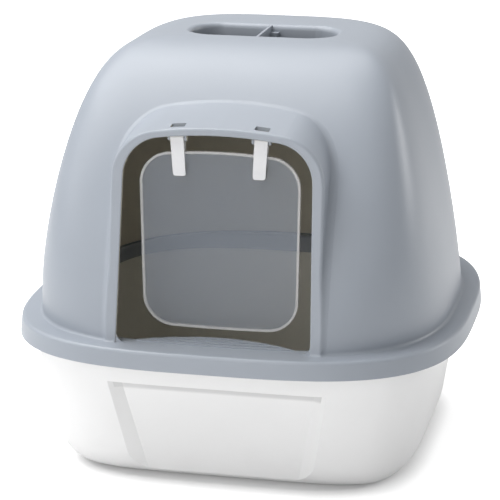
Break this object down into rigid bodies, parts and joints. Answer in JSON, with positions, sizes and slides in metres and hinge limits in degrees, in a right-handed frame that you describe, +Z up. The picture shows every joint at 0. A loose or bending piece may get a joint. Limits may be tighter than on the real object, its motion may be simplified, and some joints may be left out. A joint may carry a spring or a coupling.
{
  "type": "covered litter box",
  "caption": "Covered litter box: rounded tub with a recessed front panel, domed lift-off hood with an arched porch and handle well, and a clear swing door on two hanger clips.",
  "frame": {"origin": "on the floor, under the middle of the flange's outline, which is the middle of the bounding box's base", "axes": "+Z up, +Y from the doorway towards the rear, +X to the right as seen from the front"},
  "size_m": [0.4, 0.42, 0.3718],
  "materials": {
    "tub_white": "satin moulded white plastic",
    "hood_blue_grey": "satin moulded light blue-grey plastic",
    "door_clear": "clear smoky glossy plastic sheet",
    "clip_white": "smooth white moulded plastic"
  },
  "bodies": {
    "tub": {"litter_pan": "tub_white"},
    "hood": {"hood": "hood_blue_grey"},
    "door": {"door_flap": "door_clear", "hinge_clip_left": "clip_white", "hinge_clip_right": "clip_white"}
  },
  "joints": [
    {"name": "hood_lift", "type": "slide", "parent": "tub", "child": "hood", "axis": [0, 0, 1], "range_m": [0, 0.2]},
    {"name": "door_swing", "type": "hinge", "parent": "hood", "child": "door", "pos_m": [0, -0.156, 0.309], "axis": [1, 0, 0], "range_deg": [-65, 80]}
  ]
}
